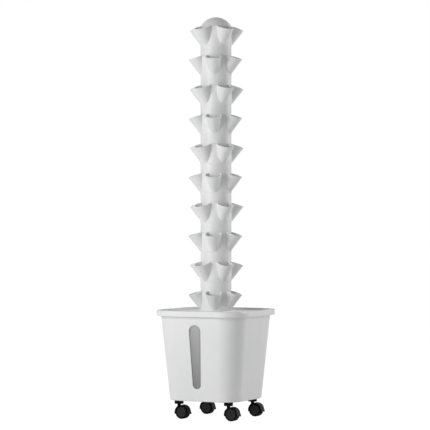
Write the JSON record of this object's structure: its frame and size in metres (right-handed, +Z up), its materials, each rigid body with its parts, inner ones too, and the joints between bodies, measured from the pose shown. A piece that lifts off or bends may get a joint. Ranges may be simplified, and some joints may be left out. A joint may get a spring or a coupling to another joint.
{
  "type": "hydroponic tower",
  "caption": "Wheeled square water tank with a level window, carrying a column of stacked planting tiers with tilted cups, a riser pump and a dome cap.",
  "frame": {"origin": "on the floor, below the tower's axis", "axes": "+Z up along the tower; -Y towards the face with the level window; +X to the right of that face"},
  "size_m": [0.376, 0.376, 1.5],
  "materials": {
    "white_plastic": "moulded white plastic, satin",
    "window_plastic": "grey translucent plastic",
    "seal_rubber": "dark grey rubber",
    "tube_plastic": "smooth extruded plastic",
    "pump_plastic": "moulded black plastic",
    "impeller_plastic": "moulded plastic over a magnet",
    "shaft_ceramic": "polished ceramic",
    "caster_plastic": "moulded black plastic",
    "wheel_plastic": "hard black plastic, worn by rolling",
    "steel": "zinc-plated steel"
  },
  "bodies": {
    "tank": {"tank": "white_plastic", "level_window": "window_plastic", "window_seal": "seal_rubber", "tank_lid": "white_plastic", "tier_01": "white_plastic", "tier_02": "white_plastic", "tier_03": "white_plastic", "tier_04": "white_plastic", "tier_05": "white_plastic", "tier_06": "white_plastic", "tier_07": "white_plastic", "tier_08": "white_plastic", "tier_09": "white_plastic", "tier_10": "white_plastic", "spray_disc": "white_plastic", "riser_tube": "tube_plastic", "pump_body": "pump_plastic", "pump_cover": "pump_plastic", "strainer": "pump_plastic", "impeller_shaft": "shaft_ceramic", "suction_feet": "seal_rubber", "cable_gland": "seal_rubber", "caster_plate_front_left": "caster_plastic", "caster_plate_front_right": "caster_plastic", "caster_plate_rear_left": "caster_plastic", "caster_plate_rear_right": "caster_plastic"},
    "fill_cap": {"fill_cap": "white_plastic"},
    "dome_cap": {"dome_cap": "white_plastic"},
    "impeller": {"impeller": "impeller_plastic"},
    "swivel_front_left": {"swivel_pin_front_left": "steel", "caster_hood_front_left": "caster_plastic", "axle_front_left": "steel"},
    "wheel_front_left_outer": {"wheel_front_left_outer": "wheel_plastic"},
    "wheel_front_left_inner": {"wheel_front_left_inner": "wheel_plastic"},
    "swivel_front_right": {"swivel_pin_front_right": "steel", "caster_hood_front_right": "caster_plastic", "axle_front_right": "steel"},
    "wheel_front_right_outer": {"wheel_front_right_outer": "wheel_plastic"},
    "wheel_front_right_inner": {"wheel_front_right_inner": "wheel_plastic"},
    "swivel_rear_left": {"swivel_pin_rear_left": "steel", "caster_hood_rear_left": "caster_plastic", "axle_rear_left": "steel"},
    "wheel_rear_left_outer": {"wheel_rear_left_outer": "wheel_plastic"},
    "wheel_rear_left_inner": {"wheel_rear_left_inner": "wheel_plastic"},
    "swivel_rear_right": {"swivel_pin_rear_right": "steel", "caster_hood_rear_right": "caster_plastic", "axle_rear_right": "steel"},
    "wheel_rear_right_outer": {"wheel_rear_right_outer": "wheel_plastic"},
    "wheel_rear_right_inner": {"wheel_rear_right_inner": "wheel_plastic"}
  },
  "joints": [
    {"name": "dome_cap_lift", "type": "slide", "parent": "tank", "child": "dome_cap", "axis": [0, 0, 1], "range_m": [0, 0.04]},
    {"name": "fill_cap_lift", "type": "slide", "parent": "tank", "child": "fill_cap", "axis": [0, 0, 1], "range_m": [0, 0.03]},
    {"name": "impeller_spin", "type": "hinge", "parent": "tank", "child": "impeller", "pos_m": [0, 0, 0.105], "axis": [1, 0, 0], "continuous": true},
    {"name": "swivel_front_left_turn", "type": "hinge", "parent": "tank", "child": "swivel_front_left", "pos_m": [-0.1025, -0.1025, 0.07], "axis": [0, 0, 1], "continuous": true},
    {"name": "wheel_front_left_outer_roll", "type": "hinge", "parent": "swivel_front_left", "child": "wheel_front_left_outer", "pos_m": [-0.087, -0.112, 0.025], "axis": [0, 1, 0], "continuous": true},
    {"name": "wheel_front_left_inner_roll", "type": "hinge", "parent": "swivel_front_left", "child": "wheel_front_left_inner", "pos_m": [-0.087, -0.093, 0.025], "axis": [0, 1, 0], "continuous": true},
    {"name": "swivel_front_right_turn", "type": "hinge", "parent": "tank", "child": "swivel_front_right", "pos_m": [0.1025, -0.1025, 0.07], "axis": [0, 0, 1], "continuous": true},
    {"name": "wheel_front_right_outer_roll", "type": "hinge", "parent": "swivel_front_right", "child": "wheel_front_right_outer", "pos_m": [0.118, -0.112, 0.025], "axis": [0, 1, 0], "continuous": true},
    {"name": "wheel_front_right_inner_roll", "type": "hinge", "parent": "swivel_front_right", "child": "wheel_front_right_inner", "pos_m": [0.118, -0.093, 0.025], "axis": [0, 1, 0], "continuous": true},
    {"name": "swivel_rear_left_turn", "type": "hinge", "parent": "tank", "child": "swivel_rear_left", "pos_m": [-0.1025, 0.1025, 0.07], "axis": [0, 0, 1], "continuous": true},
    {"name": "wheel_rear_left_outer_roll", "type": "hinge", "parent": "swivel_rear_left", "child": "wheel_rear_left_outer", "pos_m": [-0.087, 0.112, 0.025], "axis": [0, 1, 0], "continuous": true},
    {"name": "wheel_rear_left_inner_roll", "type": "hinge", "parent": "swivel_rear_left", "child": "wheel_rear_left_inner", "pos_m": [-0.087, 0.093, 0.025], "axis": [0, 1, 0], "continuous": true},
    {"name": "swivel_rear_right_turn", "type": "hinge", "parent": "tank", "child": "swivel_rear_right", "pos_m": [0.1025, 0.1025, 0.07], "axis": [0, 0, 1], "continuous": true},
    {"name": "wheel_rear_right_outer_roll", "type": "hinge", "parent": "swivel_rear_right", "child": "wheel_rear_right_outer", "pos_m": [0.118, 0.112, 0.025], "axis": [0, 1, 0], "continuous": true},
    {"name": "wheel_rear_right_inner_roll", "type": "hinge", "parent": "swivel_rear_right", "child": "wheel_rear_right_inner", "pos_m": [0.118, 0.093, 0.025], "axis": [0, 1, 0], "continuous": true}
  ]
}
